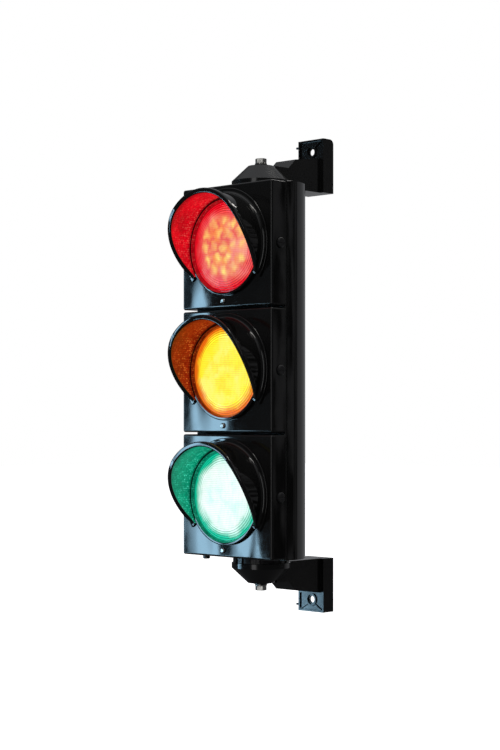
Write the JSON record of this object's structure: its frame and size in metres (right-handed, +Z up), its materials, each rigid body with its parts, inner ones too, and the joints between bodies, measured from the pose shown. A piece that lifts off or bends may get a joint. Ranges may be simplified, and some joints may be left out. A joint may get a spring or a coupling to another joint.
{
  "type": "traffic signal head",
  "caption": "Small three-aspect LED traffic signal head with hinged doors and cutaway visors, turning between upper and lower wall brackets.",
  "frame": {"origin": "on the wall face of the upper bracket's plate, on the head's centre line, below the screw hole", "axes": "+Z up along the pivot bolts, +Y into the wall, lenses face -Y, +X to the right seen from in front"},
  "size_m": [0.1293, 0.1723, 0.4775],
  "materials": {
    "bracket_plastic": "satin black",
    "zinc_steel": "zinc plated",
    "case_plastic": "gloss black",
    "rubber_seal": "matt",
    "satin_plastic": "satin black",
    "chassis_grey": "satin grey",
    "circuit_board": "solder resist",
    "lens_red": "clear coloured polycarbonate, lit",
    "lens_amber": "clear coloured polycarbonate, lit",
    "lens_green": "clear coloured polycarbonate, lit",
    "lead_red": "satin cable sheath",
    "lead_amber": "satin cable sheath",
    "lead_green": "satin cable sheath"
  },
  "bodies": {
    "wall_mount": {"upper_bracket": "bracket_plastic", "lower_bracket": "bracket_plastic", "upper_pivot_bolt": "zinc_steel", "lower_pivot_bolt": "zinc_steel", "upper_washer": "zinc_steel", "lower_washer": "zinc_steel"},
    "head": {"rear_case": "case_plastic", "case_seal": "rubber_seal", "chassis_plate": "chassis_grey", "terminal_block": "chassis_grey", "upper_pivot_ring": "rubber_seal", "lower_toothed_ring": "satin_plastic", "upper_pivot_nut": "zinc_steel", "lower_pivot_nut": "zinc_steel", "chassis_screw_upper": "zinc_steel", "chassis_screw_lower": "zinc_steel", "cable_gland": "satin_plastic", "gland_nut": "satin_plastic", "drain_plug": "satin_plastic", "led_board_red": "circuit_board", "board_screw_red": "zinc_steel", "hinge_pin_red": "zinc_steel", "lead_red": "lead_red", "led_board_amber": "circuit_board", "board_screw_amber": "zinc_steel", "hinge_pin_amber": "zinc_steel", "lead_amber": "lead_amber", "led_board_green": "circuit_board", "board_screw_green": "zinc_steel", "hinge_pin_green": "zinc_steel", "lead_green": "lead_green"},
    "door_assembly_red": {"door_red": "case_plastic", "lens_red": "lens_red", "lens_gasket_red": "rubber_seal", "lens_retainer_red": "satin_plastic", "lens_screw_red": "zinc_steel", "visor_red": "case_plastic", "visor_clip_red_left": "zinc_steel", "visor_clip_red_right": "zinc_steel"},
    "latch_turn_red": {"latch_red": "satin_plastic"},
    "door_assembly_amber": {"door_amber": "case_plastic", "lens_amber": "lens_amber", "lens_gasket_amber": "rubber_seal", "lens_retainer_amber": "satin_plastic", "lens_screw_amber": "zinc_steel", "visor_amber": "case_plastic", "visor_clip_amber_left": "zinc_steel", "visor_clip_amber_right": "zinc_steel"},
    "latch_turn_amber": {"latch_amber": "satin_plastic"},
    "door_assembly_green": {"door_green": "case_plastic", "lens_green": "lens_green", "lens_gasket_green": "rubber_seal", "lens_retainer_green": "satin_plastic", "lens_screw_green": "zinc_steel", "visor_green": "case_plastic", "visor_clip_green_left": "zinc_steel", "visor_clip_green_right": "zinc_steel"},
    "latch_turn_green": {"latch_green": "satin_plastic"}
  },
  "joints": [
    {"name": "head_turn", "type": "hinge", "parent": "wall_mount", "child": "head", "pos_m": [0, -0.0887, -0.2], "axis": [0, 0, 1], "range_deg": [-90, 90]},
    {"name": "door_red_swing", "type": "hinge", "parent": "head", "child": "door_assembly_red", "pos_m": [-0.064, -0.11695, -0.08], "axis": [0, 0, -1], "range_deg": [0, 120]},
    {"name": "latch_red_quarter_turn", "type": "hinge", "parent": "door_assembly_red", "child": "latch_turn_red", "pos_m": [0.06, -0.1253, -0.08], "axis": [1, 0, 0], "range_deg": [0, 90]},
    {"name": "door_amber_swing", "type": "hinge", "parent": "head", "child": "door_assembly_amber", "pos_m": [-0.064, -0.11695, -0.2], "axis": [0, 0, -1], "range_deg": [0, 120]},
    {"name": "latch_amber_quarter_turn", "type": "hinge", "parent": "door_assembly_amber", "child": "latch_turn_amber", "pos_m": [0.06, -0.1253, -0.2], "axis": [1, 0, 0], "range_deg": [0, 90]},
    {"name": "door_green_swing", "type": "hinge", "parent": "head", "child": "door_assembly_green", "pos_m": [-0.064, -0.11695, -0.32], "axis": [0, 0, -1], "range_deg": [0, 120]},
    {"name": "latch_green_quarter_turn", "type": "hinge", "parent": "door_assembly_green", "child": "latch_turn_green", "pos_m": [0.06, -0.1253, -0.32], "axis": [1, 0, 0], "range_deg": [0, 90]}
  ]
}
